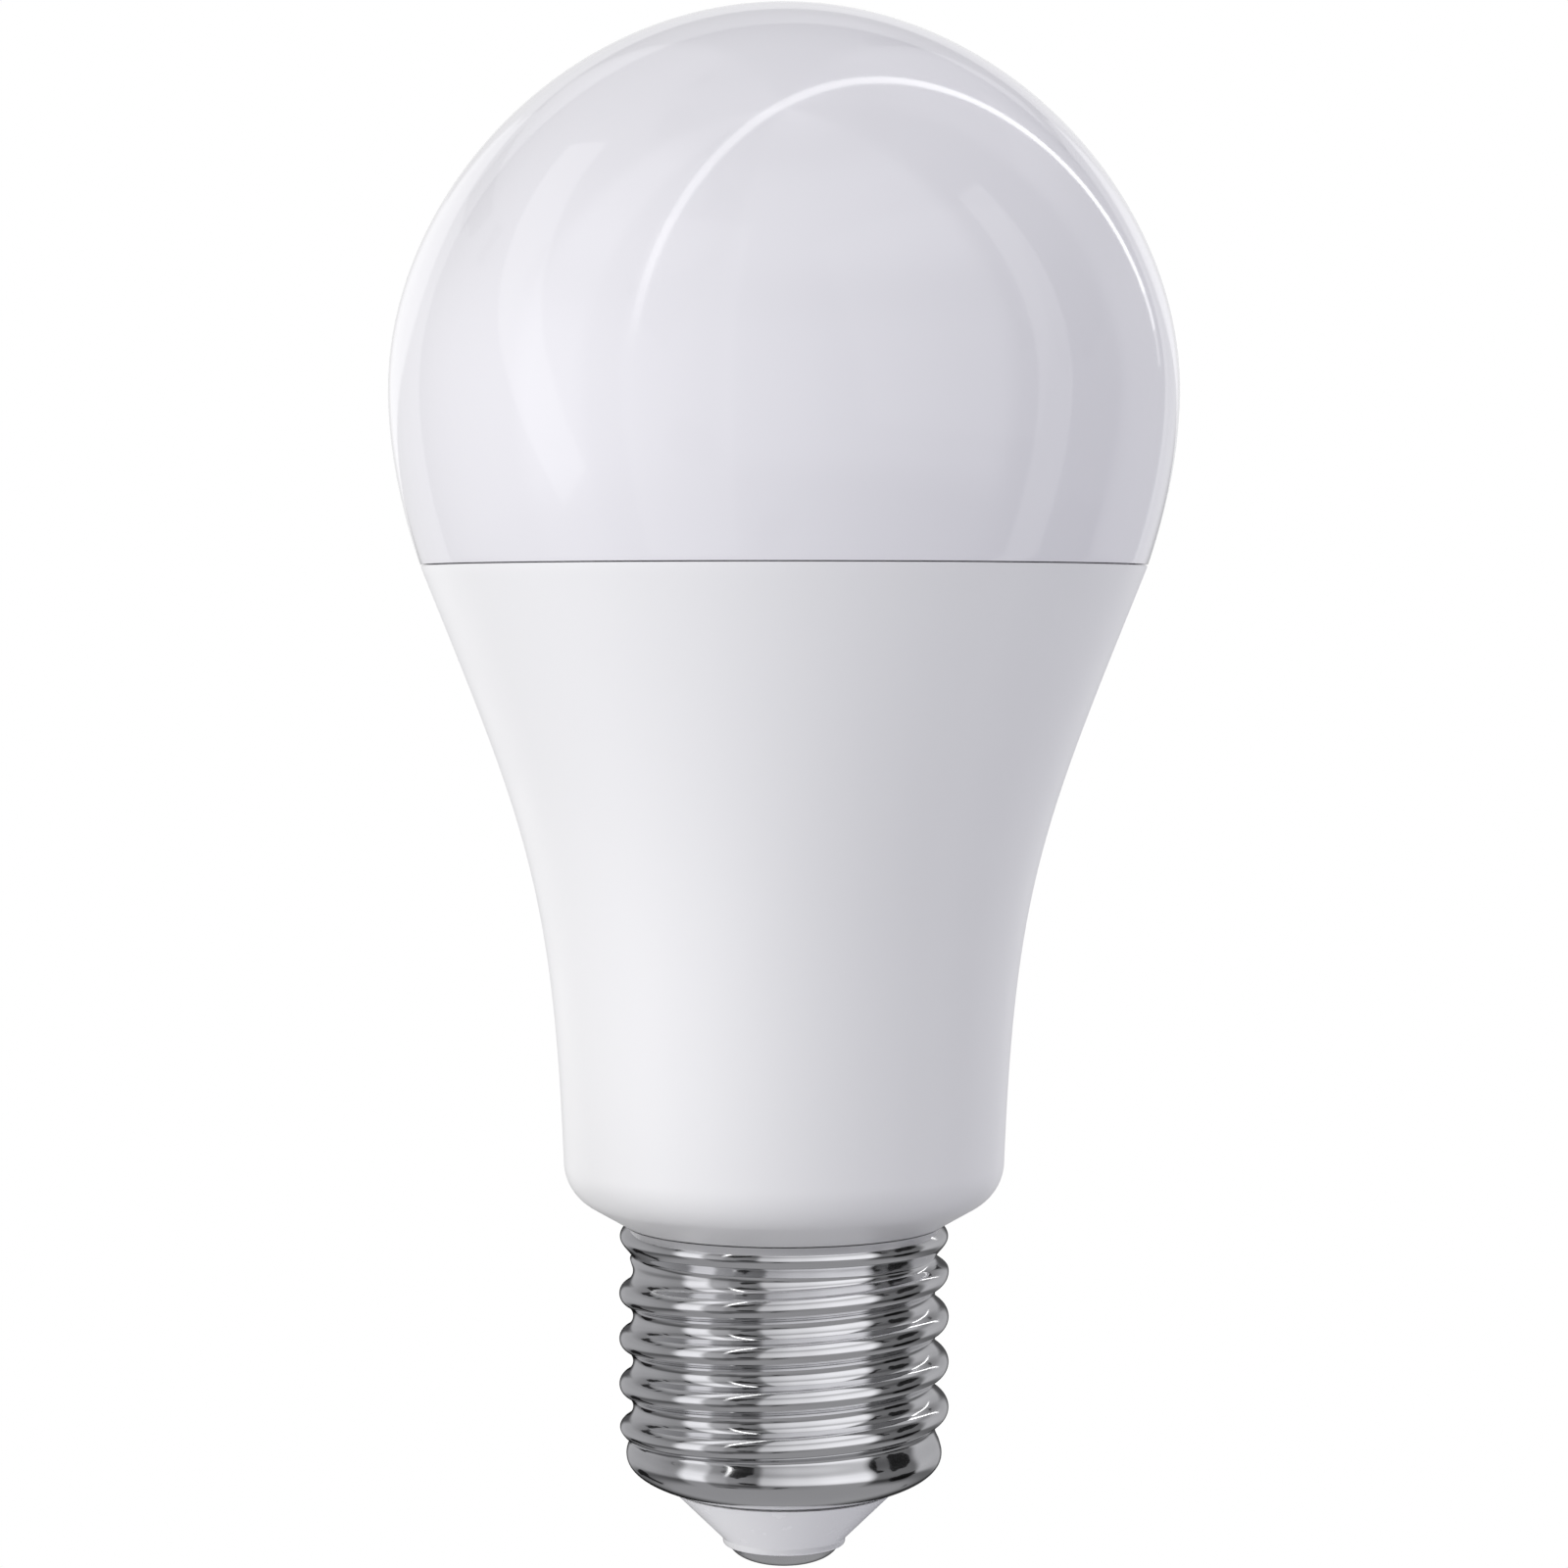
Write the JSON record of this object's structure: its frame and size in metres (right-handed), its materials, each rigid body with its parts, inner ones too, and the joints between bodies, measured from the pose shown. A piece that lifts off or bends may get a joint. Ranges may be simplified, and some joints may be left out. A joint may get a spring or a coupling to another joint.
{
  "type": "smart light bulb",
  "caption": "Pear-shaped LED lamp: glossy opal dome over a flared satin white body, ending in a nickel screw cap with a white insulator and a centre contact.",
  "frame": {"origin": "middle of the flat end face of the centre contact, on the lamp axis", "axes": "+Z along the lamp axis from the centre contact to the top of the dome; the driver board lies in the plane of X and Z, and the wireless module stands on its +Y side"},
  "size_m": [0.0624, 0.0624, 0.1238],
  "materials": {
    "opal_diffuser": "glossy opal polycarbonate, cool white",
    "white_housing": "satin moulded white polymer",
    "clear_silicone": "translucent cured silicone",
    "drawn_aluminium": "bare deep-drawn sheet",
    "thermal_grease": "matt grey paste",
    "white_led_board": "white solder mask on an aluminium core",
    "cool_phosphor": "yellow phosphor in a white package",
    "warm_phosphor": "orange phosphor in a white package",
    "rgb_package": "clear lens in a white package",
    "zinc_screw": "bright zinc plate",
    "green_circuit_board": "green solder mask on glass epoxy",
    "black_epoxy": "black moulded epoxy",
    "capacitor_sleeve": "dark blue shrink film over an aluminium can",
    "ferrite": "dark sintered ferrite",
    "copper_winding": "enamelled copper wire",
    "blue_epoxy": "dipped epoxy",
    "resistor_body": "enamelled ceramic",
    "heat_shrink": "black shrink tube",
    "tinned_steel": "tin-plated sheet",
    "red_wire": "satin insulation",
    "black_wire": "satin insulation",
    "nickel_shell": "polished nickel plate on brass sheet",
    "white_insulator": "moulded white thermoset",
    "nickel_contact": "nickel-plated brass button"
  },
  "bodies": {
    "root": {"diffuser_dome": "opal_diffuser", "outer_housing": "white_housing", "dome_adhesive": "clear_silicone", "heat_sink_cup": "drawn_aluminium", "thermal_grease": "thermal_grease", "led_board": "white_led_board", "cool_white_led_1": "cool_phosphor", "cool_white_led_2": "cool_phosphor", "cool_white_led_3": "cool_phosphor", "cool_white_led_4": "cool_phosphor", "cool_white_led_5": "cool_phosphor", "cool_white_led_6": "cool_phosphor", "warm_white_led_1": "warm_phosphor", "warm_white_led_2": "warm_phosphor", "warm_white_led_3": "warm_phosphor", "warm_white_led_4": "warm_phosphor", "warm_white_led_5": "warm_phosphor", "warm_white_led_6": "warm_phosphor", "rgb_led_1": "rgb_package", "rgb_led_2": "rgb_package", "rgb_led_3": "rgb_package", "rgb_led_4": "rgb_package", "board_screw_1": "zinc_screw", "board_screw_2": "zinc_screw", "driver_board": "green_circuit_board", "wireless_module_board": "green_circuit_board", "bridge_rectifier": "black_epoxy", "driver_ic": "black_epoxy", "led_driver_ic": "black_epoxy", "module_pin_header": "black_epoxy", "led_pin_header": "black_epoxy", "input_capacitor": "capacitor_sleeve", "output_capacitor": "capacitor_sleeve", "transformer_core": "ferrite", "choke_core": "ferrite", "transformer_winding": "copper_winding", "choke_winding": "copper_winding", "varistor": "blue_epoxy", "fuse_resistor": "resistor_body", "fuse_sleeve": "heat_shrink", "wireless_shield_can": "tinned_steel", "live_wire": "red_wire", "neutral_wire": "black_wire", "screw_shell": "nickel_shell", "cap_insulator": "white_insulator", "centre_contact": "nickel_contact"}
  },
  "joints": []
}
